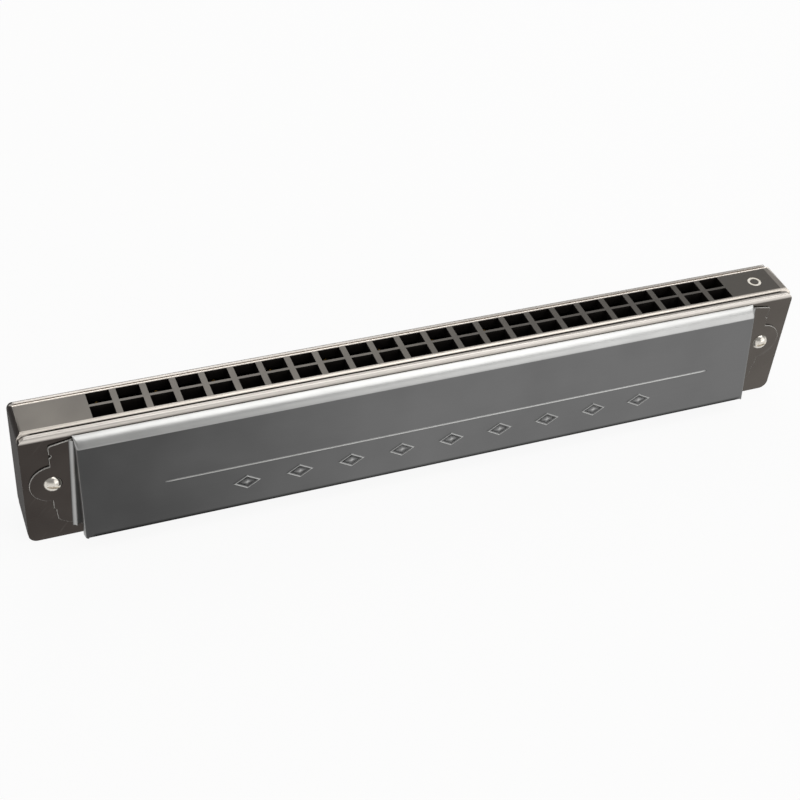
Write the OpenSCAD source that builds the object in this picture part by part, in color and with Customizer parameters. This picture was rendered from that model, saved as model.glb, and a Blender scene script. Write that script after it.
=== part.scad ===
// Tremolo harmonica with 24 double holes, standing on its back edge with the mouth face up.
// X runs along the instrument with the low notes at +X, Y goes from the front cover (-Y)
// to the rear cover (+Y), and Z goes from the back edge (0) to the mouth face.

/* [Body] */
// Length of solid comb past the outermost holes at each end
end_block = 15.7; // [14:0.1:20]
// Height from the back edge to the mouth face
body_h = 29.8; // [28.4:0.2:33]
// Thickness of the comb, between the two reed plates
comb_t = 10.2; // [9.8:0.1:12]
// Rounding of the four corners of the comb
comb_corner_r = 1.4; // [0.5:0.1:2.5]
// Rounding of the long edges of the mouth face
rim_r = 1.1; // [0.3:0.1:1.4]

/* [Holes] */
// Number of double holes
columns = 24; // [16:1:24]
// Distance from one hole to the next
pitch = 6.4; // [6:0.1:6.6]
// How far the row of holes lies off the middle, towards the low notes
hole_shift = 0.3; // [-1:0.1:1]
// Width of a hole
hole_w = 5; // [4.4:0.1:5.2]
// Height of a hole
hole_h = 3.55; // [3:0.05:3.7]
// Thickness of the wall between the two rows of holes
row_wall = 0.7; // [0.6:0.1:1.2]
// Depth of the closed frame round each hole
mouth_frame = 2.4; // [1.8:0.1:2.6]
// Room in a chamber past the end of its reed
chamber_room = 0.6; // [0.4:0.1:1]

/* [Key mark] */
// Outer diameter of the ring engraved beside the lowest hole
mark_d = 3.4; // [2:0.1:3.6]
// Width of the ring's groove
mark_line = 0.7; // [0.3:0.05:0.8]
// Depth of the ring's groove
mark_depth = 0.1; // [0.05:0.05:0.3]
// Distance of the ring from the end of the comb
mark_inset = 7.2; // [5:0.1:8]

/* [Reed plates] */
// Thickness of a reed plate
plate_t = 1.2; // [1:0.1:1.5]
// How far the plates' upper edge stays below the mouth face
plate_drop = 0.3; // [0.1:0.1:0.5]
// Rounding of the plate's corners
plate_corner_r = 2; // [1:0.1:3]
// Rounding of the plate's outer edge along the mouth
plate_edge_r = 0.7; // [0.3:0.1:0.9]

/* [Reeds] */
// Free length of the lowest reed
reed_long = 16; // [14:0.5:16.5]
// Free length of the highest reed
reed_short = 9; // [7:0.5:12]
// Width of a reed's tongue
reed_w = 2; // [1.6:0.1:2.4]
// Thickness of a reed's tongue
reed_t = 0.25; // [0.2:0.01:0.3]
// Thickness of a reed's pad, where it is riveted
pad_t = 0.55; // [0.45:0.05:0.6]
// Width of a reed's pad
pad_w = 3.4; // [3:0.1:3.8]
// Length of a reed's pad
pad_l = 3.2; // [2.6:0.1:3.4]
// Radius of the curve from the pad to the tongue
root_r = 0.28; // [0.2:0.01:0.28]
// Gap between the resting reed and its plate
reed_lift = 0.2; // [0.18:0.01:0.22]
// Clearance on each side of a tongue in its slot
slot_clear = 0.12; // [0.08:0.01:0.2]
// Clearance past the tip of a tongue in its slot
tip_clear = 0.3; // [0.2:0.05:0.5]
// Number of low reeds that carry a weight at the tip
weighted = 8; // [0:1:12]
// Length of the tip weight
weight_l = 3; // [2:0.5:4]
// Thickness of the tip weight
weight_t = 0.12; // [0.05:0.01:0.15]
// Distance from the mouth face to the root of an outer reed
outer_root = 6.2; // [5.8:0.1:6.4]
// Distance from the mouth face to the tip of an inner reed
inner_tip = 5.6; // [5:0.1:6]

/* [Rivets and pins] */
// Diameter of a reed rivet
rivet_d = 1.2; // [1:0.1:1.3]
// Clearance round the rivet in the reed's pad
pad_clear = 0.15; // [0.1:0.01:0.2]
// Diameter of a rivet's head
rivet_head_d = 2; // [1.7:0.1:2.2]
// Diameter of the flat top of a rivet's head
rivet_flat_d = 1.4; // [1:0.1:1.6]
// Height of a rivet's head
rivet_head_h = 0.4; // [0.3:0.05:0.5]
// Diameter of the closed end of a rivet
rivet_tail_d = 1.7; // [1.4:0.1:1.9]
// Height of the closed end of a rivet
rivet_tail_h = 0.3; // [0.2:0.05:0.4]
// Diameter of the pins that hold the reed plates to the comb
pin_d = 0.8; // [0.6:0.1:0.9]
// Length of a pin under its head
pin_l = 4.2; // [3:0.1:4.4]
// Number of pins in each row between the ribs
rib_pins = 5; // [3:1:6]
// Diameter of a pin's head
pin_head_d = 1.6; // [1.4:0.1:1.8]
// Diameter of the flat top of a pin's head
pin_flat_d = 1; // [0.7:0.1:1.2]
// Height of a pin's head
pin_head_h = 0.35; // [0.2:0.05:0.45]
// Distance of the lower pins from the back edge
pin_low = 2; // [1.6:0.1:2.4]
// Distance of the upper pins from the mouth face
pin_high = 3.6; // [3.4:0.1:4]
// Distance of the last pins from the feet of the covers' end walls
end_pin = 2; // [1.8:0.1:2.4]

/* [Covers] */
// Thickness of the cover sheet
sheet_t = 0.45; // [0.4:0.01:0.5]
// Distance from the end of the body to the foot of the end wall
cover_inset = 10.9; // [10:0.1:12]
// How far the face stands off the reed plate along its front edge
bulge_front = 2.6; // [2.4:0.1:4]
// How far the face stands off the reed plate along its back edge
bulge_back = 6; // [5.6:0.1:8]
// Distance from the mouth face to the cover's front edge
lip_inset = 1.5; // [1.2:0.1:1.8]
// Distance from the mouth face to the bend between shoulder and face
bend_inset = 3.65; // [3:0.05:4]
// Distance from the back edge of the body to the cover's back edge
cover_back = 3.6; // [3.4:0.1:5]
// Slope of the shoulder where it leaves the reed plate, in degrees
shoulder_start = 15; // [0:1:30]
// Width of the inward fold along the cover's back edge
hem_w = 1.1; // [0.6:0.1:1.2]
// Inward lean of the end walls, in degrees
wall_lean = 9.8; // [4:0.1:16]
// How much the end walls spread towards the back, in degrees
wall_spread = 1.7; // [0:0.1:2]
// Distance of an end wall's foot from the back edge of the body
wall_back = 2.8; // [2:0.1:3.4]
// Width of the strip of an end wall that runs on beside the face to the back
strip_w = 1.2; // [0.8:0.1:2]
// Distance from the back edge of the body to the top of the notch beside that strip
notch_z = 6.8; // [4:0.1:9]

/* [Cover ears] */
// How far the ear's straight outer edge lies past the screw
ear_past = 0.3; // [0:0.1:0.8]
// How much narrower the ear is at its outer back corner
ear_taper = 1; // [0:0.1:2]
// Distance of the ear's front edge from the mouth face
ear_inset = 2.1; // [1.8:0.1:3]
// How much the ear's front edge falls away outwards
ear_fall = 1.1; // [0:0.1:1.5]
// Distance of the ear's outer back corner from the back edge of the body
ear_back = 5; // [4:0.1:6]
// Radius of the round lobe about the screw
lobe_r = 4.9; // [4.4:0.1:5.2]
// Radius of the small relief nicks
nick_r = 0.5; // [0.3:0.05:0.7]
// Distance of the relief nicks from the screw, along Z
nick_z = 7.8; // [7.4:0.1:8]

/* [Cover ornament] */
// Length of the raised rule on a cover's face
rule_l = 132; // [100:1:140]
// Width of the raised rule
rule_w = 0.5; // [0.3:0.1:0.8]
// Height of the raised ornament above the face
raise = 0.15; // [0.1:0.05:0.3]
// Distance of the rule from the back edge of the body
rule_z = 14.2; // [12:0.1:18]
// How far the ornament lies off the middle, towards the low notes
ornament_shift = 3; // [-5:0.5:5]
// Number of lozenges beside the rule
lozenges = 9; // [5:2:11]
// Length of a lozenge
lozenge_l = 6.8; // [3:0.2:7.6]
// Width of a lozenge
lozenge_w = 3.8; // [2:0.2:4.8]
// Distance between the middles of the lozenges
lozenge_pitch = 12; // [8:0.5:12]
// Distance from the rule to the middle of the lozenges
lozenge_drop = 4.4; // [3:0.1:5]

/* [Cover screws] */
// Diameter of the cover screws
screw_d = 2; // [1.6:0.1:2.2]
// Distance of a screw from the end of the body
screw_inset = 6.2; // [5.8:0.1:6.4]
// Distance of a screw from the back edge
screw_z = 16.2; // [14:0.1:17]
// Diameter of a screw's head
head_d = 4; // [3.4:0.1:4.4]
// Height of a screw's domed head
head_h = 1.2; // [0.9:0.1:1.4]
// Width of the slot in a screw's head
slot_w = 0.6; // [0.4:0.1:0.8]
// Depth of the slot in a screw's head
slot_depth = 0.5; // [0.3:0.05:0.6]
// How far each slot is turned from level, in degrees
slot_turn = 12; // [-90:1:90]
// Radial clearance of the screw in its holes
screw_clear = 0.15; // [0.1:0.05:0.3]
// Width of a nut across its flats
nut_af = 4; // [3.6:0.1:4.4]
// Thickness of a nut
nut_h = 1.4; // [1:0.1:1.8]
// Length of thread that shows past a nut
thread_out = 0.5; // [0.2:0.1:1]

/* [Hidden] */
$fn = 40;
sides = ["front", "rear"];
cut = 1;
body_l = (columns - 1) * pitch + hole_w + 2 * end_block;
plate_in = comb_t / 2;
plate_out = plate_in + plate_t;
plate_h = body_h - plate_drop;
fit_gap = 0.02;
screw_x = body_l / 2 - screw_inset;
outer_root_z = body_h - outer_root;
inner_tip_z = body_h - inner_tip;

// Sizes of the cover, worked out from its driving dimensions
bend_z = body_h - bend_inset;
lip_z = body_h - lip_inset;
foot_x = body_l / 2 - cover_inset;
face_lean = atan((bulge_back - bulge_front) / (bend_z - cover_back));
shoulder_drop = lip_z - bend_z;
shoulder_chord = sqrt(pow(bulge_front, 2) + pow(shoulder_drop, 2));
shoulder_turn = 2 * (atan(shoulder_drop / bulge_front) - shoulder_start);
shoulder_r = shoulder_chord / (2 * sin(shoulder_turn / 2));
shoulder_y = plate_out - shoulder_r * sin(shoulder_start);
shoulder_z = lip_z - shoulder_r * cos(shoulder_start);
ear_x = screw_x + ear_past;
far = body_l;

function two(n) = n < 10 ? str("0", n) : str(n);
function reed_name(side, n) = str("reed_", side, "_", two(n));
function hole_x(n) = hole_shift + ((columns + 1) / 2 - n) * pitch;
function reed_l(n) = reed_long - (reed_long - reed_short) * (n - 1) / (columns - 1);
function is_inner(n) = n % 2 == 1;
function root_z(n) = is_inner(n) ? inner_tip_z - reed_l(n) : outer_root_z;
function along(n) = is_inner(n) ? 1 : -1;
function rivet_z(n) = root_z(n) - along(n) * pad_l / 2;
function chamber_z(n) = inner_tip_z - reed_l(n) - pad_l - chamber_room;
function rib_x(n) = (hole_x(n) + hole_x(n + 1)) / 2;
function pin_xs() = concat([for (i = [1:rib_pins]) rib_x(round(i * columns / (rib_pins + 1)))],
    [for (s = [-1, 1]) s * (foot_x - end_pin)]);
function mirror_of(side) = side == "front" ? 1 : 0;

// A flat rounded rectangle of width w from z = 0 to z = h, in the X-Z plane
module rounded_panel(w, h, r) {
    translate([0, h / 2])
    union() {
        square([w - 2 * r, h], center = true);
        square([w, h - 2 * r], center = true);
        for (sx = [-1, 1])
            for (sz = [-1, 1])
                translate([sx * (w / 2 - r), sz * (h / 2 - r)])
                circle(r);
    }
}

// Stands a flat X-Z outline up and gives it a thickness from y0 to y1
module stand(y0, y1) {
    translate([0, y1, 0])
    rotate([90, 0, 0])
    linear_extrude(y1 - y0)
    children();
}

// Carries a flat Y-Z outline along X from x0 to x1
module run_along(x0, x1) {
    translate([x0, 0, 0])
    rotate([90, 0, 90])
    linear_extrude(x1 - x0)
    children();
}

// Puts what is built for the rear side on the named side
module on_side(side) {
    mirror([0, mirror_of(side), 0])
    children();
}

// A cylinder that points along +Y
module rod_y(r, l) {
    rotate([-90, 0, 0])
    cylinder(r = r, h = l);
}

// The cross section of the comb, with its two mouth edges rounded
module comb_section() {
    translate([-comb_t / 2, 0])
    square([comb_t, body_h - rim_r]);
    translate([-comb_t / 2 + rim_r, 0])
    square([comb_t - 2 * rim_r, body_h]);
    for (s = [-1, 1])
        translate([s * (comb_t / 2 - rim_r), body_h - rim_r])
        circle(rim_r);
}

// The opening of one hole and the chamber behind it, on the rear side
module air_cell(n) {
    translate([hole_x(n) - hole_w / 2, row_wall / 2, body_h - mouth_frame - cut])
    cube([hole_w, hole_h, mouth_frame + 2 * cut]);
    translate([hole_x(n) - hole_w / 2, row_wall / 2, chamber_z(n)])
    cube([hole_w, comb_t / 2, body_h - mouth_frame - chamber_z(n)]);
}

module comb() {
    color("#5a5856")
    difference() {
        intersection() {
            stand(-comb_t, comb_t)
            rounded_panel(body_l, body_h, comb_corner_r);
            run_along(-body_l / 2, body_l / 2)
            comb_section();
        }
        for (side = sides) {
            on_side(side) {
                for (n = [1:columns])
                    air_cell(n);
                for (x = pin_xs())
                    for (z = [pin_low, body_h - pin_high])
                        translate([x, plate_out - pin_l - fit_gap, z])
                        rod_y(pin_d / 2 + fit_gap, pin_l);
            }
        }
        for (s = [-1, 1])
            translate([s * screw_x, -comb_t, screw_z])
            rod_y(screw_d / 2 + screw_clear, 2 * comb_t);
        translate([body_l / 2 - mark_inset, 0, body_h - mark_depth])
        difference() {
            cylinder(d = mark_d, h = cut);
            translate([0, 0, -cut])
            cylinder(d = mark_d - 2 * mark_line, h = 3 * cut);
        }
    }
}

// The cross section of the rear plate, rounded where the lips touch it
module plate_section() {
    translate([plate_in, 0])
    square([plate_t, plate_h - plate_edge_r]);
    translate([plate_in, 0])
    square([plate_t - plate_edge_r, plate_h]);
    translate([plate_out - plate_edge_r, plate_h - plate_edge_r])
    circle(plate_edge_r);
}

// The slot that the tongue of one reed swings through
module reed_slot(n) {
    w = reed_w + 2 * slot_clear;
    l = reed_l(n) + tip_clear;
    z0 = is_inner(n) ? root_z(n) : root_z(n) - l;
    translate([hole_x(n) - w / 2, plate_in - cut, z0])
    cube([w, plate_t + 2 * cut, l]);
}

module reed_plate(side) {
    color("#c9bfa8")
    on_side(side)
    difference() {
        intersection() {
            stand(plate_in, plate_out)
            rounded_panel(body_l, plate_h, plate_corner_r);
            run_along(-body_l / 2, body_l / 2)
            plate_section();
        }
        for (n = [1:columns]) {
            reed_slot(n);
            translate([hole_x(n), plate_in - cut, rivet_z(n)])
            rod_y(rivet_d / 2 + fit_gap, plate_t + 2 * cut);
        }
        for (x = pin_xs())
            for (z = [pin_low, body_h - pin_high])
                translate([x, plate_in - cut, z])
                rod_y(pin_d / 2 + fit_gap, plate_t + 2 * cut);
        for (s = [-1, 1])
            translate([s * screw_x, plate_in - cut, screw_z])
            rod_y(screw_d / 2 + screw_clear, plate_t + 2 * cut);
    }
}

// Side view of a tongue lying along +Z with its root at the origin and its outer face at +Y,
// with the hollow curve that thickens it towards the pad
module tongue_section(l) {
    square([reed_t, l]);
    difference() {
        square([reed_t + root_r, root_r]);
        translate([reed_t + root_r, root_r])
        circle(root_r);
    }
}

// One reed lying along +Z, its root at z = 0 and its lower face at y = 0
module reed_shape(n) {
    union() {
        run_along(-reed_w / 2, reed_w / 2)
        tongue_section(reed_l(n));
        if (n <= weighted)
            translate([-reed_w / 2, 0, reed_l(n) - weight_l])
            cube([reed_w, reed_t + weight_t, weight_l]);
        difference() {
            translate([-pad_w / 2, 0, -pad_l])
            cube([pad_w, pad_t, pad_l]);
            translate([0, -cut, -pad_l / 2])
            rod_y(rivet_d / 2 + pad_clear, pad_t + 2 * cut);
        }
    }
}

// An inner reed hangs in its chamber with the tip towards the mouth,
// and an outer reed lies over the plate with the tip towards the back
module reed(side, n) {
    color("#c8a24e")
    on_side(side)
    translate([hole_x(n), is_inner(n) ? plate_in - reed_lift : plate_out + reed_lift, root_z(n)])
    rotate([0, 0, is_inner(n) ? 180 : 0])
    mirror([0, 0, is_inner(n) ? 0 : 1])
    reed_shape(n);
}

// One rivet for the rear plate, with its head over the reed's pad
module rivet(n) {
    stack = plate_t + 2 * reed_lift + pad_t;
    translate([hole_x(n), is_inner(n) ? plate_out : plate_in, rivet_z(n)])
    rotate([is_inner(n) ? 90 : -90, 0, 0])
    union() {
        cylinder(d = rivet_d, h = stack);
        translate([0, 0, stack])
        cylinder(d1 = rivet_head_d, d2 = rivet_flat_d, h = rivet_head_h);
        translate([0, 0, -rivet_tail_h])
        cylinder(d1 = rivet_d, d2 = rivet_tail_d, h = rivet_tail_h);
    }
}

module reed_rivets(side) {
    color("#b98f45")
    on_side(side)
    for (n = [1:columns])
        rivet(n);
}

module plate_pins(side) {
    color("#b98f45")
    on_side(side)
    for (x = pin_xs())
        for (z = [pin_low, body_h - pin_high])
            translate([x, plate_out - pin_l, z])
            union() {
                rod_y(pin_d / 2, pin_l);
                translate([0, pin_l, 0])
                rotate([-90, 0, 0])
                cylinder(d1 = pin_head_d, d2 = pin_flat_d, h = pin_head_h);
            }
}

// How far the outside of a cover's face is from the middle of the instrument at a height z
function face_y(z) = plate_out + bulge_front + (bend_z - z) * tan(face_lean);

// The region inside a cover's skin at a depth t below its outer surface, in the Y-Z plane
module cover_section(t, z_low) {
    skin = t / cos(face_lean);
    intersection() {
        polygon([[plate_out - t, z_low], [plate_out - t, lip_z],
            [face_y(lip_z) - skin, lip_z], [face_y(z_low) - skin, z_low]]);
        union() {
            translate([shoulder_y, shoulder_z])
            circle(shoulder_r - t, $fn = 120);
            translate([0, z_low])
            square([far, shoulder_z - z_low]);
        }
    }
}

// Everything between two end walls whose feet stand at +-x
module between_walls(x) {
    intersection_for (s = [0, 1])
        mirror([s, 0, 0])
        translate([x, plate_out, bend_z])
        rotate([0, -wall_spread, 0])
        rotate([0, 0, wall_lean])
        translate([-2 * far, -far, -far])
        cube([2 * far, 2 * far, 2 * far]);
}

// The pressed shell: shoulder, sloping face, end walls and the fold along the back
module cover_shell() {
    notch_y = face_y(cover_back) - strip_w;
    difference() {
        intersection() {
            run_along(-far, far)
            cover_section(0, wall_back);
            between_walls(foot_x);
        }
        intersection() {
            run_along(-far, far)
            cover_section(sheet_t, -cut);
            between_walls(foot_x - sheet_t);
        }
        run_along(-far, far)
        polygon([[0, wall_back], [plate_out, wall_back], [notch_y, notch_z],
            [notch_y, cover_back], [far, cover_back], [far, -cut], [0, -cut]]);
    }
    intersection() {
        run_along(-far, far)
        translate([face_y(cover_back) - hem_w, cover_back])
        square([hem_w - sheet_t / 2, sheet_t]);
        between_walls(foot_x - sheet_t / 2);
    }
}

// The flat ear at one end, in the X-Z plane, with its strip, lobe, nicks and screw hole
module ear_outline() {
    difference() {
        union() {
            polygon([[foot_x - sheet_t, wall_back], [ear_x - ear_taper, ear_back],
                [ear_x, screw_z - nick_z], [ear_x, body_h - ear_inset - ear_fall],
                [foot_x - sheet_t, body_h - ear_inset]]);
            translate([screw_x, screw_z])
            circle(lobe_r);
        }
        for (s = [-1, 1])
            translate([ear_x, screw_z + s * nick_z])
            circle(nick_r);
        translate([screw_x, screw_z])
        circle(screw_d / 2 + screw_clear);
    }
}

module lozenge_outline() {
    polygon([[-lozenge_l / 2, 0], [0, -lozenge_w / 2], [lozenge_l / 2, 0], [0, lozenge_w / 2]]);
}

// The raised rule and the row of lozenges beside it, standing on the sloping face
module cover_ornament() {
    translate([ornament_shift, face_y(rule_z), rule_z])
    rotate([face_lean, 0, 0])
    stand(-sheet_t / 2, raise)
    union() {
        square([rule_l, rule_w], center = true);
        for (i = [0:lozenges - 1])
            translate([(i - (lozenges - 1) / 2) * lozenge_pitch, -lozenge_drop])
            lozenge_outline();
    }
}

module cover(side) {
    color("#8f8f8f")
    on_side(side)
    union() {
        cover_shell();
        for (s = [0, 1])
            mirror([s, 0, 0])
            stand(plate_out, plate_out + sheet_t)
            ear_outline();
        cover_ornament();
    }
}

// Slotted round head, pointing along -Y, with its seat at y = 0
module screw_head(turn) {
    dome_r = (pow(head_d / 2, 2) + pow(head_h, 2)) / (2 * head_h);
    rotate([90, 0, 0])
    difference() {
        intersection() {
            cylinder(d = head_d, h = head_h);
            translate([0, 0, head_h - dome_r])
            sphere(dome_r);
        }
        rotate([0, 0, turn])
        translate([-head_d, -slot_w / 2, head_h - slot_depth])
        cube([2 * head_d, slot_w, head_h]);
    }
}

module cover_screws() {
    seat = plate_out + sheet_t;
    color("#d8d4cc")
    for (s = [-1, 1])
        translate([s * screw_x, -seat, screw_z])
        union() {
            screw_head(s * slot_turn);
            rod_y(screw_d / 2, 2 * seat + nut_h + thread_out);
        }
}

module cover_nuts() {
    color("#d8d4cc")
    for (s = [-1, 1])
        translate([s * screw_x, plate_out + sheet_t, screw_z])
        rotate([-90, 0, 0])
        difference() {
            cylinder(d = nut_af / cos(30), h = nut_h, $fn = 6);
            translate([0, 0, -cut])
            cylinder(r = screw_d / 2 + fit_gap, h = nut_h + 2 * cut);
        }
}

comb();
reed_plate("front");  // reed_plate_front
reed_plate("rear");  // reed_plate_rear
reed_rivets("front");  // reed_rivets_front
reed_rivets("rear");  // reed_rivets_rear
plate_pins("front");  // plate_pins_front
plate_pins("rear");  // plate_pins_rear
cover("front");  // cover_front
cover("rear");  // cover_rear
cover_screws();
cover_nuts();
for (side = sides) for (n = [1:columns]) reed(side, n);
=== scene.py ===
import math

import bmesh
import bpy
import numpy as np
from mathutils import Matrix, Vector


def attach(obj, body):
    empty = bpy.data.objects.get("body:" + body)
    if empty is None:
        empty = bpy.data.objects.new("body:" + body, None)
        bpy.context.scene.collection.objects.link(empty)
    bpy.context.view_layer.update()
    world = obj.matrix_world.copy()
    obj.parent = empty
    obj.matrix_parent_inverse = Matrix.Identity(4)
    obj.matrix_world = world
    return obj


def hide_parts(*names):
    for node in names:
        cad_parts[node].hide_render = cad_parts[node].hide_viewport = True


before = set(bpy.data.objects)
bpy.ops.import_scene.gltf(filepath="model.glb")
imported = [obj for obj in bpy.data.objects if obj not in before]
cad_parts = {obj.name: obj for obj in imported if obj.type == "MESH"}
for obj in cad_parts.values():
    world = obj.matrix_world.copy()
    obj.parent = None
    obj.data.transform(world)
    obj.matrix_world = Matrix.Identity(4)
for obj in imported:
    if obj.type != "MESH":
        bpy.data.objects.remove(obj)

bl_info = {
    "name": "Tremolo harmonica",
    "version": (1, 0, 0),
    "blender": (4, 5, 0),
    "location": "View3D > Sidebar > Harmonica",
    "description": "Dresses a tremolo harmonica with 24 double holes and lights it on a pale floor",
    "category": "Object",
}

# One millimetre in metres; the sizes of the solids are in millimetres and their angles in radians
MM = 0.001

# The body: reed plates, comb and mouth face
PLATE_OUT = 6.3
BODY_H = 29.8
BODY_L = 183.6
RIM_R = 1.1
HOLE_EDGE = 3.9
HOLES_END = 79.0
SEAM = 5.1
MARK_X = 84.6
MARK_R = 1.7
MARK_LINE = 0.7
MARK_DEPTH = 0.1
MARK_FILL = 0.075

# The covers' sheet: sloping face, round shoulder, fold, end walls
SHEET = 0.45
FOOT_X = 80.9
LIP_Z = 28.3
LIP_GAP = 0.03
BEND_Z = 26.15
COVER_BACK = 3.6
BULGE_FRONT = 2.6
BULGE_BACK = 6.0
FACE_LEAN = math.atan((BULGE_BACK - BULGE_FRONT) / (BEND_Z - COVER_BACK))
SHOULDER_R = 4.067
SHOULDER_Y = 5.247
SHOULDER_Z = 24.372
HEM = 1.1
WALL_LEAN = math.radians(9.8)
WALL_SPREAD = math.radians(1.7)
WALL_BACK = 2.8
NOTCH_Z = 6.8

# The ears with their screws
SCREW_X = 85.6
SCREW_Z = 16.2
SCREW_HOLE = 1.15
EAR_X = 85.9
EAR_TAPER = 1.0
EAR_TOP = 27.7
EAR_FALL = 1.1
EAR_BACK = 5.0
EAR_CORNER = 0.6
LOBE_R = 4.9
NICK_R = 0.5
NICK_Z = 7.8

# The pressed ornament: a rule, and a row of lozenges below it
RULE_Z = 14.2
RULE_L = 132.0
RULE_W = 0.5
RULE_FADE = 1.5
ORNAMENT_SHIFT = 3.0
LOZENGES = 9
LOZENGE_L = 6.8
LOZENGE_W = 3.8
LOZENGE_PITCH = 12.0
LOZENGE_DROP = 4.4
SINK = 0.015

# Points this close, in metres, are one, in new meshes and in CAD copies; faces this close to level, in
# radians, are one flat face
DOUBLES = 1e-7
CAD_DOUBLES = 1e-6
LEVEL = math.radians(0.05)

# Each side with the sign of its Y, and each end, of the high and the low notes, with the sign of its X
SIDES = {"front": -1, "rear": 1}
ENDS = {"high": -1, "low": 1}

# The photograph's camera, in the frame's metres
CAMERA_PLACE = (-0.11483, -0.24023, 0.24407)
CAMERA_RIGHT = (0.93179, -0.35587, 0.07161)
CAMERA_DOWN = (-0.18465, -0.63450, -0.75054)
CAMERA_AHEAD = (0.31254, 0.68612, -0.65693)


def colour(hex_text):
    """Linear colour of an sRGB hex value, by the sRGB curve: a straight part and a 2.4 power."""
    parts = [int(hex_text[i:i + 2], 16) / 255 for i in (1, 3, 5)]
    return tuple(c / 12.92 if c <= 0.04045 else ((c + 0.055) / 1.055) ** 2.4 for c in parts)


def swatch(name, hex_text, text):
    """An opaque colour that the user can change."""
    return bpy.props.FloatVectorProperty(
        name=name, description=text, subtype="COLOR", size=4, min=0, max=1, default=(*colour(hex_text), 1.0))


def length(name, default, text):
    """A length in metres that the user can change."""
    return bpy.props.FloatProperty(
        name=name, description=text, subtype="DISTANCE", unit="LENGTH", min=0, default=default)


class HarmonicaSizes(bpy.types.PropertyGroup):
    """Roundings and reliefs of the looks; the sizes of the solids come from the CAD model"""
    corner_r: length("Cover corner", 0.00075, "Outer radius where an end wall of a cover meets its face")
    foot_r: length("Foot radius", 0.001, "Radius of the hollow curve where an end wall meets the ear")
    hem_r: length("Fold radius", 0.00035, "Outer radius of the fold along a cover's back edge")
    crease: length("Crease", 0.00004, "Softness of the bend between shoulder and face")
    relief: length("Relief height", 0.0002, "Height of the raised ornament over the face")
    sheet_edge: length("Sheet edge", 0.0001, "Rounding of the cut edges of the cover sheet")
    ear_edge: length("Ear edge", 0.0002, "Rounding of the cut edges of the ears")
    comb_edge: length("Comb edge", 0.00012, "Rounding of the edges of the mouth holes")
    plate_edge: length("Plate edge", 0.00015, "Rounding of the cut edges of the reed plates")
    screw_edge: length("Screw edge", 0.0001, "Rounding of the edges of the screws and nuts")


class HarmonicaColours(bpy.types.PropertyGroup):
    """Colours of every finish"""
    cover: swatch("Cover", "#727272", "Satin chrome of the covers")
    # Painted shade: the covers' chrome is painted darker towards the high notes
    cover_painted_shade: swatch("Cover, dark end", "#4a4a4a", "Chrome towards the high notes, where it is darker")
    # Partly polish, partly a painted highlight on the covers' corners, shoulders, foot curves and ornament
    cover_polish_and_highlight: swatch("Cover bends", "#d0d0ce", "Polished bends of the covers, lightened by a painted highlight")
    # Painted shadow along the folded back edge of the covers
    fold_painted_shadow: swatch("Fold painted shadow", "#161616", "Painted shadow along the folded back edge of the covers")
    edge: swatch("Cut edges", "#dcdad6", "Sheared edges of the cover sheet")
    edge_dull: swatch("Cut edges, dull", "#b4b2ae", "Duller marks in the sheared edges")
    plate: swatch("Reed plate", "#5c5752", "Dark nickel of the reed plates and ears")
    # Painted shade: the plates and ears are painted darker towards the high notes
    plate_painted_shade: swatch("Reed plate, dark end", "#3e3936", "Dark nickel towards the high notes")
    # Partly buffing, partly a painted highlight on the plates' upper edge
    plate_buff_and_highlight: swatch("Plate edge", "#d6d0c9", "Buffed upper edge of the reed plates, lightened by a painted highlight")
    comb: swatch("Comb", "#76726c", "Warm satin plating of the comb")
    comb_dull: swatch("Comb, dull", "#706c67", "Cloudy marks on the comb")
    # Painted highlight on the comb's rims and on a band at its low end
    comb_rim_highlight: swatch("Comb rims", "#ded6cc", "Painted highlight on the rims round the mouth face")
    # Painted shade in the seam beside the front reed plate
    seam_painted_shade: swatch("Seam painted shade", "#2c2825", "Painted shade in the seam beside the front reed plate")
    # Partly dark moulding, partly painted shade: nearly black, deep in the holes and chambers
    comb_inside: swatch("Inside of the comb", "#13100e", "Bare moulding inside the holes and chambers")
    comb_flow: swatch("Flow marks", "#1a1613", "Flow marks in the bare moulding")
    end: swatch("Ends", "#3b3633", "Matt lacquer on the ends of comb and plates")
    end_streak: swatch("Ends, streaks", "#302c29", "Darker streaks in the matt lacquer")
    mark: swatch("Ring mark", "#fffaf0", "Enamel in the ring beside the lowest hole")
    mark_thin: swatch("Ring mark, thin", "#c9b99c", "Enamel where it was wiped thin")
    screw: swatch("Screws", "#d9d4cb", "Nickel of the screws and nuts")
    screw_film: swatch("Screws, scuffed", "#97918a", "Scuffs of a screwdriver")
    reed: swatch("Reeds", "#c9a557", "Milled brass of the reeds")
    reed_bright: swatch("Reeds, mill marks", "#e0c480", "Bright lines left by the mill")
    reed_tarnish: swatch("Reeds, tarnish", "#97743a", "Browner spots of tarnish")
    rivet: swatch("Rivets", "#b5924e", "Brass of the rivets and pins")
    rivet_film: swatch("Rivets, film", "#7a5e30", "Darker film of age on the rivets and pins")


class HarmonicaStudio(bpy.types.PropertyGroup):
    """Lens, floor and light of the picture"""
    lens: bpy.props.FloatProperty(
        name="Lens", description="Focal length on a 36 mm sensor, in millimetres", min=10, default=69.025)
    floor: swatch("Floor", "#f4f3f1", "Pale paper under the object")
    whiteness: bpy.props.FloatProperty(
        name="Whiteness", description="Share of plain white in what the eye and the metal see of the floor",
        subtype="FACTOR", min=0, max=1, default=0.92)
    sky: bpy.props.FloatProperty(
        name="Ceiling", description="Brightness of the room above the object", min=0, max=2, default=0.34)
    horizon: bpy.props.FloatProperty(
        name="Backdrop", description="Brightness of the room along the horizon", min=0, max=2, default=0.9)
    lamps: bpy.props.FloatProperty(
        name="Lamps", description="Share of the lamps' power", subtype="FACTOR", min=0, max=2, default=1)


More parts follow.
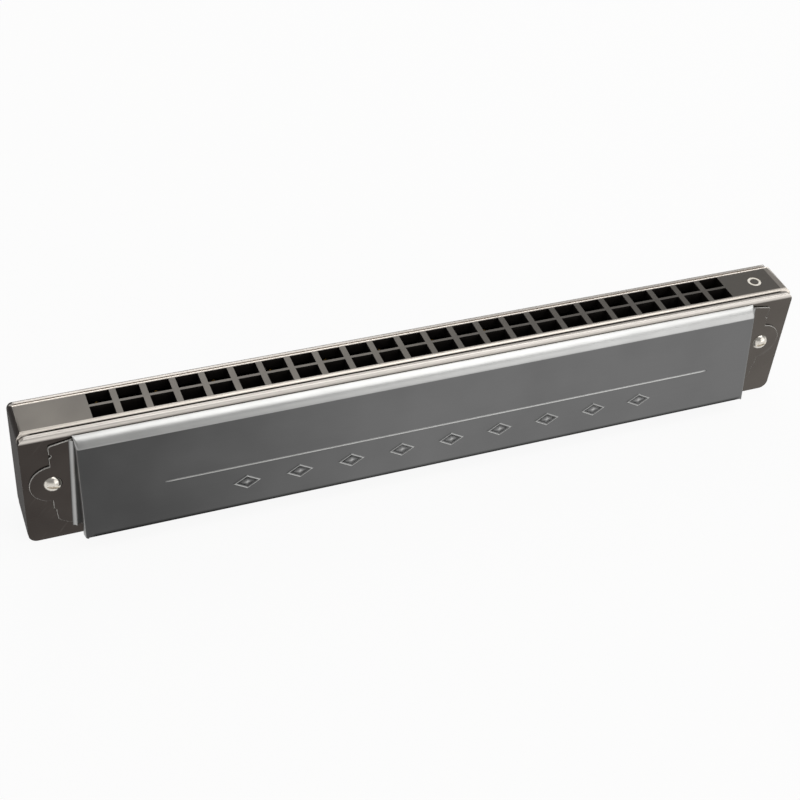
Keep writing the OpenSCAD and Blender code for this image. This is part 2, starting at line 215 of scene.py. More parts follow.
def fill(tree, node, values):
    """Fills a node's sockets with values or from other nodes: a node stands for its first output in use."""
    for socket, value in values.items():
        if isinstance(value, bpy.types.Node):
            value = next(s for s in value.outputs if s.enabled)
        if isinstance(value, bpy.types.NodeSocket):
            tree.links.new(value, node.inputs[socket])
        else:
            node.inputs[socket].default_value = value
    return node


def add(tree, kind, values=None, **settings):
    """Adds a shader node, sets its properties and fills its sockets. Most sockets go by number: a MapRange
    turns the range 1 to 2 into 3 to 4, or into 0 to 1, and a Mix goes by the share 0 from colour 6 to
    colour 7."""
    node = tree.nodes.new("ShaderNode" + kind)
    for key, value in settings.items():
        setattr(node, key, value)
    return fill(tree, node, values or {})


def new_material(name, metallic=0.0):
    """A material with its node tree, its Principled shader and the object's own coordinates."""
    made = bpy.data.materials.new(name)
    made.use_nodes = True
    tree = made.node_tree
    shader = next(n for n in tree.nodes if n.type == "BSDF_PRINCIPLED")
    shader.inputs["Metallic"].default_value = metallic
    return made, tree, shader, add(tree, "TexCoord").outputs["Object"]


def per_metre(size):
    """Scale of a pattern whose marks are size millimetres across."""
    return 1000 / size


def drawn_out(size, x=1, y=1, z=1):
    """Scale of such a pattern along each axis, with its marks drawn out by these factors."""
    return [per_metre(size * factor) for factor in (x, y, z)]


def satin_chrome(colours):
    """Chrome over a steel sheet that was brushed lengthwise before pressing: a soft sheen with a fine
    grain along X, cloudy handling marks, painted shade that darkens it towards the high notes, bends
    polished by the press tool and lightened by a painted highlight, where the mesh's attribute is above
    zero, and a painted shadow along the fold, where it is below."""
    made, tree, shader, place = new_material("satin_chromed_steel", 1.0)
    polish_and_painted_light = add(tree, "Attribute", attribute_name="polish_and_painted_light").outputs["Fac"]
    # The grain of a 240 grit belt is about 0.06 mm wide, drawn 0.25 mm wide so that it shows
    drawn = add(tree, "Mapping", {"Vector": place, "Scale": drawn_out(0.25, x=60)})
    grain = add(tree, "TexNoise", {"Vector": drawn, "Scale": 1.0, "Detail": 2.0})
    # Handling leaves clouds about 14 mm across, and the press tool rubs unevenly over about 5 mm
    cloud = add(tree, "TexNoise", {"Vector": place, "Scale": per_metre(14), "Detail": 2.0})
    rubbed = add(tree, "TexNoise", {"Vector": place, "Scale": per_metre(5), "Detail": 1.0})
    patch = add(tree, "MapRange", {"Value": rubbed, 1: 0.3, 2: 0.6, 3: 0.93, 4: 1.0})
    polish_and_highlight = add(tree, "Math", {0: polish_and_painted_light, 1: patch}, operation="MULTIPLY")
    dull = add(tree, "MapRange", {"Value": cloud, 1: 0.3, 2: 0.7, 3: -0.08, 4: 0.08})
    # Painted shade: the darker tone fades out from just beyond the high end of the face to the middle
    along = add(tree, "SeparateXYZ", {0: place}).outputs["X"]
    dark = add(tree, "MapRange", {
        "Value": along, 1: -1.08 * FOOT_X * MM, 2: 0.0, 3: 0.95, 4: 0.05}, interpolation_type="SMOOTHSTEP")
    dark = add(tree, "Math", {0: dark, 1: dull}, operation="ADD", use_clamp=True)
    # Painted shadow: the fold, where the attribute is below zero, darkens almost to black
    fold_shadow = add(tree, "MapRange", {"Value": polish_and_painted_light, 1: -1.0, 2: 0.0, 3: 0.9, 4: 0.0})
    shade = add(tree, "Mix", {0: dark, 6: colours.cover, 7: colours.cover_painted_shade}, data_type="RGBA")
    shade = add(tree, "Mix", {0: polish_and_highlight, 6: shade, 7: colours.cover_polish_and_highlight}, data_type="RGBA")
    shade = add(tree, "Mix", {0: fold_shadow, 6: shade, 7: colours.fold_painted_shadow}, data_type="RGBA")
    sheen = add(tree, "MapRange", {"Value": grain, 1: 0.3, 2: 0.7, 3: 0.38, 4: 0.43})
    hazy = add(tree, "Math", {0: dull, 1: 0.2, 2: sheen}, operation="MULTIPLY_ADD")
    rough = add(tree, "Math", {0: polish_and_highlight, 1: -0.1, 2: hazy}, operation="MULTIPLY_ADD")
    bump = add(tree, "Bump", {"Strength": 0.1, "Distance": 0.02 * MM, "Height": grain})
    fill(tree, shader, {"Base Color": shade, "Roughness": rough, "Normal": bump})
    return made


def sheared_edge(colours):
    """The sheared edge of the cover sheet: bright bare metal, torn rough, so that it takes light from
    all round."""
    made, tree, shader, place = new_material("sheared_sheet_edge", 1.0)
    # Shear marks stand about 0.15 mm apart
    marks = add(tree, "TexNoise", {"Vector": place, "Scale": per_metre(0.15), "Detail": 2.0})
    shade = add(tree, "Mix", {0: marks, 6: colours.edge, 7: colours.edge_dull}, data_type="RGBA")
    rough = add(tree, "MapRange", {"Value": marks, 1: 0.3, 2: 0.7, 3: 0.7, 4: 0.85})
    fill(tree, shader, {"Base Color": shade, "Roughness": rough})
    return made


def dark_nickel(colours):
    """Nickel on a rolled sheet: a dark gloss with a warm tone and painted shade that deepens towards the
    high notes, faint rolling lines along X, a few hairlines and an upper edge that lips buff, lightened by a
    painted highlight. The bright edge leaves out the front seam and, at the rear, the outer side."""
    made, tree, shader, place = new_material("buffed_nickel_plate", 1.0)
    along, across, height = add(tree, "SeparateXYZ", {0: place}).outputs
    # Rolling lines stand 0.1 to 0.2 mm apart, drawn 0.35 mm apart; handling leaves clouds of 9 mm
    drawn = add(tree, "Mapping", {"Vector": place, "Scale": drawn_out(0.35, x=80)})
    rolled = add(tree, "TexNoise", {"Vector": drawn, "Scale": 1.0, "Detail": 2.0})
    cloud = add(tree, "TexNoise", {"Vector": place, "Scale": per_metre(9), "Detail": 2.0})
    # Hairlines from cleaning are 0.05 mm wide, drawn 0.25 mm wide, at an odd angle
    slant = add(tree, "Mapping", {"Vector": place, "Rotation": (0.0, 0.9, 0.0)})
    slant = add(tree, "Mapping", {"Vector": slant, "Scale": drawn_out(0.25, x=24)})
    hair = add(tree, "TexNoise", {"Vector": slant, "Scale": 1.0, "Detail": 0.0})
    scratch = add(tree, "MapRange", {"Value": hair, 1: 0.78, 2: 0.82, 3: 0.0, 4: 0.04})
    # Buffing and a painted highlight lighten what lies above the covers' lip: at the front beyond the seam,
    # at the rear on the inner side
    buffed_and_lit = add(tree, "MapRange", {
        "Value": height, 1: (LIP_Z - 0.15) * MM, 2: (LIP_Z + 0.35) * MM, 3: 0.0, 4: 1.0})
    front = add(tree, "MapRange", {
        "Value": across, 1: -(SEAM + 0.3) * MM, 2: -(SEAM + 0.1) * MM, 3: 1.0, 4: 0.0})
    rear = add(tree, "Math", {0: across, 1: 0.0}, operation="GREATER_THAN")
    inner = add(tree, "MapRange", {
        "Value": across, 1: (PLATE_OUT - 0.7) * MM, 2: (PLATE_OUT - 0.5) * MM, 3: 1.0, 4: 0.0})
    inner = add(tree, "Math", {0: inner, 1: rear}, operation="MULTIPLY")
    free = add(tree, "Math", {0: front, 1: inner}, operation="MAXIMUM")
    buffed_and_lit = add(tree, "Math", {0: buffed_and_lit, 1: free}, operation="MULTIPLY")
    polish_and_highlight = add(tree, "Math", {0: buffed_and_lit, 1: scratch}, operation="MAXIMUM")
    dull = add(tree, "MapRange", {"Value": cloud, 1: 0.3, 2: 0.7, 3: -0.1, 4: 0.1})
    # Painted shade: the nickel darkens from the low end towards the high notes
    dark = add(tree, "MapRange", {
        "Value": along, 1: -EAR_X * MM, 2: EAR_X * MM, 3: 0.9, 4: 0.1}, interpolation_type="SMOOTHSTEP")
    dark = add(tree, "Math", {0: dark, 1: dull}, operation="ADD", use_clamp=True)
    shade = add(tree, "Mix", {0: dark, 6: colours.plate, 7: colours.plate_painted_shade}, data_type="RGBA")
    shade = add(tree, "Mix", {0: polish_and_highlight, 6: shade, 7: colours.plate_buff_and_highlight}, data_type="RGBA")
    sheen = add(tree, "MapRange", {"Value": rolled, 1: 0.3, 2: 0.7, 3: 0.22, 4: 0.27})
    hazy = add(tree, "Math", {0: dull, 1: 0.2, 2: sheen}, operation="MULTIPLY_ADD")
    rough = add(tree, "Math", {0: buffed_and_lit, 1: 0.15, 2: hazy}, operation="MULTIPLY_ADD")
    bump = add(tree, "Bump", {"Strength": 0.1, "Distance": 0.02 * MM, "Height": rolled})
    fill(tree, shader, {"Base Color": shade, "Roughness": rough, "Normal": bump})
    return made


def plated_comb(colours):
    """Satin plating over a moulded comb: a warm grey metal with a very fine pebble, a little cloudy, with a
    painted highlight on the rims along the mouth face and on a band at its low end, and painted shade in
    the seam at the front."""
    made, tree, shader, place = new_material("satin_plated_moulding", 1.0)
    along, across, height = add(tree, "SeparateXYZ", {0: place}).outputs
    aside = add(tree, "Math", {0: across}, operation="ABSOLUTE")
    outward = add(tree, "Math", {0: along}, operation="ABSOLUTE")
    # Painted highlight on the rims outside the holes, twice as far down as they are rounded, and on a band
    # at the low end
    rim = add(tree, "MapRange", {"Value": aside, 1: (HOLE_EDGE + 0.02) * MM, 2: (HOLE_EDGE + 0.22) * MM})
    upper = add(tree, "Math", {0: height, 1: (BODY_H - 2 * RIM_R) * MM}, operation="GREATER_THAN")
    rim = add(tree, "Math", {0: rim, 1: upper}, operation="MULTIPLY")
    low_end = add(tree, "MapRange", {
        "Value": along, 1: (BODY_L / 2 - 2.4) * MM, 2: (BODY_L / 2 - 2.2) * MM, 3: 0.0, 4: 0.4})
    rim = add(tree, "Math", {0: rim, 1: low_end}, operation="MAXIMUM")
    # The seam's painted shade stops short of the rounded corners
    seam = add(tree, "MapRange", {"Value": across, 1: (0.42 - SEAM) * MM, 2: (0.3 - SEAM) * MM})
    inboard = add(tree, "MapRange", {
        "Value": outward, 1: (BODY_L / 2 - 3) * MM, 2: (BODY_L / 2 - 2) * MM, 3: 1.0, 4: 0.0})
    seam = add(tree, "Math", {0: seam, 1: inboard}, operation="MULTIPLY")
    # Pebble of a spark-eroded mould, about 0.05 mm, drawn 0.2 mm wide so that it shows; clouds of 11 mm
    pebble = add(tree, "TexNoise", {"Vector": place, "Scale": per_metre(0.2), "Detail": 2.0})
    cloud = add(tree, "TexNoise", {"Vector": place, "Scale": per_metre(11), "Detail": 2.0})
    dull = add(tree, "MapRange", {"Value": cloud, 1: 0.3, 2: 0.7, 3: 0.0, 4: 1.0})
    shade = add(tree, "Mix", {0: dull, 6: colours.comb, 7: colours.comb_dull}, data_type="RGBA")
    shade = add(tree, "Mix", {0: rim, 6: shade, 7: colours.comb_rim_highlight}, data_type="RGBA")
    shade = add(tree, "Mix", {0: seam, 6: shade, 7: colours.seam_painted_shade}, data_type="RGBA")
    sheen = add(tree, "MapRange", {"Value": pebble, 1: 0.3, 2: 0.7, 3: 0.32, 4: 0.38})
    rough = add(tree, "Math", {0: dull, 1: 0.05, 2: sheen}, operation="MULTIPLY_ADD")
    bump = add(tree, "Bump", {"Strength": 0.08, "Distance": 0.02 * MM, "Height": pebble})
    fill(tree, shader, {"Base Color": shade, "Roughness": rough, "Normal": bump})
    return made


def bare_moulding(colours):
    """Moulded ABS inside the comb, which the plating doesn't reach: dark and dull, with flow marks, painted
    nearly black as shade deep in the holes and chambers.
    """
    made, tree, shader, place = new_material("moulded_abs")
    # Flow marks in a wall this thin are about 1 mm apart
    flow = add(tree, "TexNoise", {"Vector": place, "Scale": per_metre(1), "Detail": 2.0})
    shade = add(tree, "Mix", {0: flow, 6: colours.comb_inside, 7: colours.comb_flow}, data_type="RGBA")
    rough = add(tree, "MapRange", {"Value": flow, 1: 0.3, 2: 0.7, 3: 0.5, 4: 0.65})
    fill(tree, shader, {"Base Color": shade, "Roughness": rough, "Specular IOR Level": 0.25})
    return made


def matt_end(colours):
    """Trimmed ends of comb and plates under a matt brown-grey lacquer: they stay dull even seen edge on."""
    made, tree, shader, place = new_material("matt_lacquered_end")
    # The lacquer's tooth is about 0.1 mm, drawn 0.3 mm wide, over streaks along Z 2 mm apart
    tooth = add(tree, "TexNoise", {"Vector": place, "Scale": per_metre(0.3), "Detail": 2.0})
    drawn = add(tree, "Mapping", {"Vector": place, "Scale": drawn_out(2, z=8)})
    streak = add(tree, "TexNoise", {"Vector": drawn, "Scale": 1.0, "Detail": 2.0})
    shade = add(tree, "Mix", {0: streak, 6: colours.end, 7: colours.end_streak}, data_type="RGBA")
    rough = add(tree, "MapRange", {"Value": tooth, 1: 0.3, 2: 0.7, 3: 0.55, 4: 0.7})
    bump = add(tree, "Bump", {"Strength": 0.2, "Distance": 0.03 * MM, "Height": tooth})
    fill(tree, shader, {"Base Color": shade, "Roughness": rough, "Normal": bump, "Specular IOR Level": 0.1})
    return made


def ring_enamel(colours):
    """Cream enamel wiped into the engraved ring: slightly glossy, streaky where it was wiped."""
    made, tree, shader, place = new_material("wiped_enamel")
    # The wiping leaves streaks about 0.3 mm wide
    drawn = add(tree, "Mapping", {"Vector": place, "Scale": drawn_out(0.3, x=4)})
    streak = add(tree, "TexNoise", {"Vector": drawn, "Scale": 1.0, "Detail": 2.0})
    thin = add(tree, "MapRange", {"Value": streak, 1: 0.4, 2: 0.7, 3: 0.0, 4: 0.4})
    shade = add(tree, "Mix", {0: thin, 6: colours.mark, 7: colours.mark_thin}, data_type="RGBA")
    rough = add(tree, "MapRange", {"Value": streak, 1: 0.3, 2: 0.7, 3: 0.3, 4: 0.45})
    fill(tree, shader, {"Base Color": shade, "Roughness": rough})
    return made


def screw_nickel(colours):
    """Polished nickel on turned screws: bright and glossy, with fine duller scuffs of a driver."""
    made, tree, shader, place = new_material("polished_nickel_screw", 1.0)
    # Scuffs of a screwdriver are about 0.2 mm wide
    drawn = add(tree, "Mapping", {"Vector": place, "Scale": drawn_out(0.2, x=3)})
    scuff = add(tree, "TexNoise", {"Vector": drawn, "Scale": 1.0, "Detail": 2.0})
    film = add(tree, "MapRange", {"Value": scuff, 1: 0.55, 2: 0.7, 3: 0.0, 4: 0.6})
    shade = add(tree, "Mix", {0: film, 6: colours.screw, 7: colours.screw_film}, data_type="RGBA")
    rough = add(tree, "MapRange", {"Value": scuff, 1: 0.3, 2: 0.7, 3: 0.14, 4: 0.26})
    bump = add(tree, "Bump", {"Strength": 0.15, "Distance": 0.02 * MM, "Height": scuff})
    fill(tree, shader, {"Base Color": shade, "Roughness": rough, "Normal": bump})
    return made


def milled_brass(colours):
    """Brass reeds milled to thickness and filed to pitch: yellow metal with straight bright marks along Z
    and browner spots of tarnish."""
    made, tree, shader, place = new_material("milled_brass_reed", 1.0)
    # Mill marks are about 0.08 mm apart, drawn 0.15 mm apart; tarnish comes in spots of 4 mm
    drawn = add(tree, "Mapping", {"Vector": place, "Scale": drawn_out(0.15, z=40)})
    milled = add(tree, "TexNoise", {"Vector": drawn, "Scale": 1.0, "Detail": 2.0})
    spots = add(tree, "TexNoise", {"Vector": place, "Scale": per_metre(4), "Detail": 2.0})
    tarnish = add(tree, "MapRange", {"Value": spots, 1: 0.4, 2: 0.7, 3: 0.0, 4: 0.6})
    shade = add(tree, "Mix", {0: tarnish, 6: colours.reed, 7: colours.reed_tarnish}, data_type="RGBA")
    shine = add(tree, "MapRange", {"Value": milled, 1: 0.4, 2: 0.7, 3: 0.0, 4: 0.3})
    shade = add(tree, "Mix", {0: shine, 6: shade, 7: colours.reed_bright}, data_type="RGBA")
    rough = add(tree, "MapRange", {"Value": milled, 1: 0.3, 2: 0.7, 3: 0.24, 4: 0.36})
    bump = add(tree, "Bump", {"Strength": 0.2, "Distance": 0.02 * MM, "Height": milled})
    fill(tree, shader, {"Base Color": shade, "Roughness": rough, "Normal": bump})
    return made


def headed_brass(colours):
    """Brass wire headed into rivets and pins: satin, with a darker film in patches."""
    made, tree, shader, place = new_material("headed_brass_rivet", 1.0)
    # The film of age breaks up at about 0.5 mm
    film = add(tree, "TexNoise", {"Vector": place, "Scale": per_metre(0.5), "Detail": 2.0})
    aged = add(tree, "MapRange", {"Value": film, 1: 0.35, 2: 0.7, 3: 0.0, 4: 0.7})
    shade = add(tree, "Mix", {0: aged, 6: colours.rivet, 7: colours.rivet_film}, data_type="RGBA")
    rough = add(tree, "MapRange", {"Value": film, 1: 0.3, 2: 0.7, 3: 0.28, 4: 0.45})
    fill(tree, shader, {"Base Color": shade, "Roughness": rough})
    return made


def link_piece(name, mesh, materials):
    """Puts a finished mesh into the scene, lets it ride on the instrument and gives it its materials."""
    piece = bpy.data.objects.new(name, mesh)
    bpy.context.scene.collection.objects.link(piece)
    for material in materials:
        mesh.materials.append(material)
    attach(piece, "instrument")
    return piece


def smooth(mesh):
    """Shades every face of a mesh smooth."""
    mesh.polygons.foreach_set("use_smooth", np.ones(len(mesh.polygons), bool))


def vectors(items, name):
    """One vector of each face or point of a mesh, such as its centre, its normal or its place."""
    values = np.zeros(len(items) * 3, np.float32)
    items.foreach_get(name, values)
    return values.reshape(-1, 3)


def grid_mesh(name, points, keep=None, polish_and_painted_light=None, flip=False):
    """A mesh from a grid of points in millimetres: each four neighbours make a face, apart from those
    that keep leaves out. Unused points go, and worn becomes a value at each point."""
    rows, columns = points.shape[:2]
    index = np.arange(rows * columns).reshape(rows, columns)
    faces = np.stack([index[:-1, :-1], index[:-1, 1:], index[1:, 1:], index[1:, :-1]], axis=-1)
    faces = faces[keep] if keep is not None else faces.reshape(-1, 4)
    if flip:
        faces = faces[:, ::-1]
    used, faces = np.unique(faces, return_inverse=True)
    mesh = bpy.data.meshes.new(name)
    mesh.from_pydata((points.reshape(-1, 3)[used] * MM).tolist(), [], faces.reshape(-1, 4).tolist())
    smooth(mesh)
    if polish_and_painted_light is not None:
        values = mesh.attributes.new("polish_and_painted_light", "FLOAT", "POINT").data
        values.foreach_set("value", polish_and_painted_light.reshape(-1)[used].astype(np.float32))
    mesh.validate()
    return mesh


def outwards(mesh, capped=False):
    """Turns the faces of a closed mesh outwards, after its doubles are merged and, where it is to be
    capped, its open ends are closed."""
    work = bmesh.new()
    work.from_mesh(mesh)
    bmesh.ops.remove_doubles(work, verts=work.verts, dist=DOUBLES)
    if capped:
        bmesh.ops.holes_fill(work, edges=work.edges)
    bmesh.ops.recalc_face_normals(work, faces=work.faces)
    work.to_mesh(mesh)
    work.free()


def keep_flat(piece):
    """Lets the large flat faces set the shading, so that only the rounded edges turn."""
    piece.modifiers.new("flat faces", "WEIGHTED_NORMAL").weight = 100


def soften(piece, width, angle=40):
    """Rounds the edges that are sharper than angle, in degrees, and keeps flat faces flat."""
    edge = piece.modifiers.new("rounded edges", "BEVEL")
    edge.width = width
    edge.segments = 2
    edge.limit_method = "ANGLE"
    edge.angle_limit = math.radians(angle)
    keep_flat(piece)


def backed(piece, depth):
    """Closes an open surface by a back that lies depth millimetres under it, inside what carries it."""
    back = piece.modifiers.new("back", "SOLIDIFY")
    back.thickness = depth * MM
    back.offset = -1


def softened_copy(node, name, materials, width):
    """A copy of a CAD node, merged, freed of the lines across its flat faces and softly rounded."""
    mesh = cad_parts[node].data.copy()
    mesh.materials.clear()
    work = bmesh.new()
    work.from_mesh(mesh)
    bmesh.ops.remove_doubles(work, verts=work.verts, dist=CAD_DOUBLES)
    bmesh.ops.dissolve_limit(work, angle_limit=LEVEL, verts=work.verts, edges=work.edges)
    work.to_mesh(mesh)
    work.free()
    smooth(mesh)
    piece = link_piece(name, mesh, materials)
    soften(piece, width)
    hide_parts(node)
    return piece


def enamel_ring(colours):
    """The ring mark: a shallow cushion of enamel carried round the engraved circle. Its height falls by the
    fourth power of the way to the sides of the groove."""
    turn, s = np.meshgrid(np.linspace(0, 2 * math.pi, 73), np.linspace(-1, 1, 9))
    r = MARK_R - MARK_LINE / 2 + s * MARK_LINE * 0.49
    z = BODY_H - MARK_DEPTH + MARK_FILL * (1 - s ** 4)
    mesh = grid_mesh("ring_mark", np.stack([MARK_X + r * np.cos(turn), r * np.sin(turn), z], axis=-1))
    outwards(mesh)
    backed(link_piece("ring_mark", mesh, [ring_enamel(colours)]), 0.02)


def mirrored(points, side):
    """The rear side's points as they are, or turned to the front side."""
    return points * (1, SIDES[side], 1)


def cover_height(z, crease):
    """Height of a cover's skin over the reed plate: the lower of the straight face and the round
    shoulder, a circle about its centre, melted into each other over the crease. Below the circle's centre
    the shoulder is lifted out of the way."""
    face = BULGE_FRONT + (BEND_Z - z) * math.tan(FACE_LEAN)
    reach = np.sqrt(np.maximum(SHOULDER_R ** 2 - np.maximum(z - SHOULDER_Z, 0) ** 2, 0))
    shoulder = SHOULDER_Y + reach - PLATE_OUT + np.where(z < SHOULDER_Z, BODY_H, 0)
    return -crease * np.logaddexp(-face / crease, -shoulder / crease)


def foot_at(z):
    """Distance of an end wall's foot from the middle: it grows a little towards the back."""
    return FOOT_X + (BEND_Z - z) * math.tan(WALL_SPREAD)


def cover_skin(sizes):
    """The right half of a cover's outer skin as rows along the profile and columns along the outline.
    A column runs up the leaning end wall, round the corner by a circle and along the face; a row is one
    height over the back edge, and the lowest rows turn in as the fold. Returns points, worn and keep."""
    corner, fold, crease = (v / MM for v in (sizes.corner_r, sizes.hem_r, sizes.crease))

    # Heights of the rows: a strip up to the notch, the face, close rows over the bend, the round shoulder
    low = COVER_BACK + fold * (1 + math.sin(FACE_LEAN))
    lip = LIP_Z - LIP_GAP
    start, end = (math.asin((z - SHOULDER_Z) / SHOULDER_R) for z in (BEND_Z, lip))
    strip = np.linspace(low, NOTCH_Z, 5)[:-1]
    z_row = np.concatenate([
        strip, np.linspace(NOTCH_Z, BEND_Z - 0.4, 16)[:-1], np.linspace(BEND_Z - 0.4, BEND_Z + 0.3, 12),
        SHOULDER_Z + SHOULDER_R * np.sin(np.linspace(start, end, 22)[3:])])

    # Shares of the way up the wall, round the corner and along the face: one for each column
    wall = np.linspace(0, 1, 12)
    bend = np.linspace(0, 1, 10)[1:]
    along = np.linspace(0, 1, 60)[1:]
    on_wall = slice(0, len(wall))
    on_bend = slice(on_wall.stop, on_wall.stop + len(bend))
    on_face = slice(on_bend.stop, on_bend.stop + len(along))

    # Heights of each row in each column; the notch in the wall's lower end lifts its first columns
    notch = 9
    strip_rows = len(strip)
    z = np.repeat(z_row[:, None], on_face.stop, axis=1)
    share = (z_row - NOTCH_Z) / (lip - NOTCH_Z)
    cut = WALL_BACK + (NOTCH_Z - WALL_BACK) * wall[:notch + 1] / wall[notch]
    z[strip_rows:, :notch + 1] = cut + (lip - cut) * share[strip_rows:, None]
    plain = COVER_BACK + (NOTCH_Z - COVER_BACK) * ((strip - low) / (NOTCH_Z - low))
    z[:strip_rows, :on_face.start - 1] = plain[:, None]

    # The outline at each height: the wall leans in to a sharp tip, which the corner's circle cuts off. The
    # circle shrinks where the cover is low
    h = cover_height(z, crease)
    r = np.minimum(corner, 0.45 * h)
    foot = foot_at(z)
    tip_x = foot - h * math.tan(WALL_LEAN)
    tangent = r * math.tan((math.pi / 2 - WALL_LEAN) / 2)
    x = np.zeros_like(z)
    y = np.zeros_like(z)
    up = (h - tangent * math.cos(WALL_LEAN))[:, on_wall] * wall
    x[:, on_wall] = foot[:, on_wall] - up * math.tan(WALL_LEAN)
    y[:, on_wall] = up
    angle = WALL_LEAN + bend * (math.pi / 2 - WALL_LEAN)
    middle_x = tip_x + tangent * math.sin(WALL_LEAN) - r * math.cos(WALL_LEAN)
    x[:, on_bend] = middle_x[:, on_bend] + r[:, on_bend] * np.cos(angle)
    y[:, on_bend] = (h - r)[:, on_bend] + r[:, on_bend] * np.sin(angle)
    x[:, on_face] = (tip_x - tangent)[:, on_face] * (1 - along)
    y[:, on_face] = h[:, on_face]

    # The fold: a circle under the face, then straight inwards
    turn = np.linspace(-math.pi / 2, FACE_LEAN, 8)[:-1]
    h_low = cover_height(np.array(low), crease)
    fold_y = h_low - fold * math.cos(FACE_LEAN) + fold * np.cos(turn)
    inner = np.linspace(h_low - HEM, fold_y[0], 4)[:-1]
    fold_y = np.concatenate([inner, fold_y])
    fold_z = np.concatenate([np.full(len(inner), COVER_BACK), COVER_BACK + fold + fold * np.sin(turn)])
    hem_rows = len(fold_y)
    x = np.concatenate([np.repeat(x[:1], hem_rows, axis=0), x])
    y = np.concatenate([y[:1] + fold_y[:, None] - h_low, y])
    z = np.concatenate([np.repeat(fold_z[:, None], on_face.stop, axis=1), z])

    # Only the face has the fold, and the strip has no wall
    keep = np.ones((len(z) - 1, on_face.stop - 1), bool)
    keep[:hem_rows, :on_face.start - 1] = False
    keep[:hem_rows + strip_rows, :notch] = False

    # The press tool polishes the corner and the shoulder, and a painted highlight lightens them, most at the
    # shoulder's crown; a weaker painted highlight lies on the low strip beside the notch, and a painted
    # shadow darkens the fold
    polish_and_painted_light = np.zeros_like(z)
    polish_and_painted_light[:, on_wall.stop - 2:on_wall.stop + 3] = (0.3, 0.5, 0.6, 0.45, 0.15)
    crown = 0.9 - 0.45 * np.clip((LIP_Z - z) / (LIP_Z - BEND_Z), 0, 1) ** 2
    polish_and_painted_light = np.maximum(polish_and_painted_light, crown * (z > BEND_Z))
    polish_and_painted_light[:hem_rows + 1, on_face] = -1
    polish_and_painted_light[:hem_rows + strip_rows, notch:on_wall.stop + 2] = 0.4
    return np.stack([x, y + PLATE_OUT, z], axis=-1), polish_and_painted_light, keep


def cover_shell(side, sizes, materials):
    """One pressed cover: the skin's half and its mirror image in one grid, given its sheet's thickness."""
    half, polish_and_painted_light, keep = cover_skin(sizes)
    points = np.concatenate([half, half[:, -2::-1] * (-1, 1, 1)], axis=1)
    polish_and_painted_light = np.concatenate([polish_and_painted_light, polish_and_painted_light[:, -2::-1]], axis=1)
    keep = np.concatenate([keep, keep[:, ::-1]], axis=1)
    name = "cover_shell_" + side
    mesh = grid_mesh(name, mirrored(points, side), keep, polish_and_painted_light, flip=side == "front")
    piece = link_piece(name, mesh, materials)
    sheet = piece.modifiers.new("sheet", "SOLIDIFY")
    sheet.thickness = SHEET * MM
    sheet.offset = -1
    sheet.use_even_offset = True
    sheet.material_offset_rim = 1
    soften(piece, sizes.sheet_edge, 60)
    return piece


def arc(x, z, r, start, end, steps=16):
    """Points of a circle about x, z from one angle to another, in degrees."""
    angle = np.radians(np.linspace(start, end, steps))
    return np.stack([x + r * np.cos(angle), z + r * np.sin(angle)], axis=-1)


def ear_outline():
    """The ear seen from outside: a slanting top edge, a straight outer edge with two relief nicks, and
    between them the round lobe about the screw, which stands further out. The outer edge ends in a small
    slanting corner, and the back edge runs in."""
    reach = math.degrees(math.acos((EAR_X - SCREW_X) / LOBE_R))
    inside = FOOT_X - SHEET
    return np.concatenate([
        [[inside, EAR_TOP]],
        arc(EAR_X - EAR_CORNER, EAR_TOP - EAR_FALL - 0.45, EAR_CORNER, 75, 0, 8),
        arc(EAR_X, SCREW_Z + NICK_Z, NICK_R, 90, 270),
        arc(SCREW_X, SCREW_Z, LOBE_R, reach, -reach, 48),
        arc(EAR_X, SCREW_Z - NICK_Z, NICK_R, 90, 200),
        [[EAR_X - EAR_TAPER + 0.25, EAR_BACK + 0.6], [EAR_X - EAR_TAPER - 0.5, EAR_BACK - 0.1],
         [inside, WALL_BACK]]])


def flat_piece(name, outlines, low, high, edge, turn):
    """A flat plate with rounded edges: outlines in X and Z, filled, with its thickness along Y, and
    mirrored along the axes where turn is -1."""
    shape = bpy.data.curves.new(name, "CURVE")
    shape.dimensions = "2D"
    shape.fill_mode = "BOTH"
    shape.bevel_resolution = 2
    for outline in outlines:
        spline = shape.splines.new("POLY")
        spline.points.add(len(outline) - 1)
        flat = np.zeros((len(outline), 4))
        flat[:, :2] = outline
        flat[:, 3] = 1
        spline.points.foreach_set("co", flat.ravel())
        spline.use_cyclic_u = True
    shape.extrude = (high - low) / 2 - edge
    shape.bevel_depth = edge
    shape.offset = -edge
    work = bpy.data.objects.new(name, shape)
    bpy.context.scene.collection.objects.link(work)
    mesh = bpy.data.meshes.new_from_object(work.evaluated_get(bpy.context.evaluated_depsgraph_get()))
    bpy.data.objects.remove(work)
    x, z, y = vectors(mesh.vertices, "co").T
    placed = np.stack([x, (low + high) / 2 + y, z], axis=-1) * MM * turn
    mesh.vertices.foreach_set("co", placed.astype(np.float32).ravel())
    outwards(mesh)
    return mesh


def cover_ear(side, end, sizes, materials):
    """One ear with its screw hole, softly rounded where it was cut. It lies just clear of the plate."""
    name = "cover_ear_%s_%s" % (side, end)
    hole = arc(SCREW_X, SCREW_Z, SCREW_HOLE, 0, 350, 36)
    mesh = flat_piece(name, [ear_outline(), hole], PLATE_OUT + 0.005, PLATE_OUT + SHEET,
                      sizes.ear_edge / MM, (ENDS[end], SIDES[side], 1))
    smooth(mesh)
    cut = abs(vectors(mesh.polygons, "normal")[:, 1]) < 0.95
    mesh.polygons.foreach_set("material_index", cut.astype(np.int32))
    keep_flat(link_piece(name, mesh, materials))


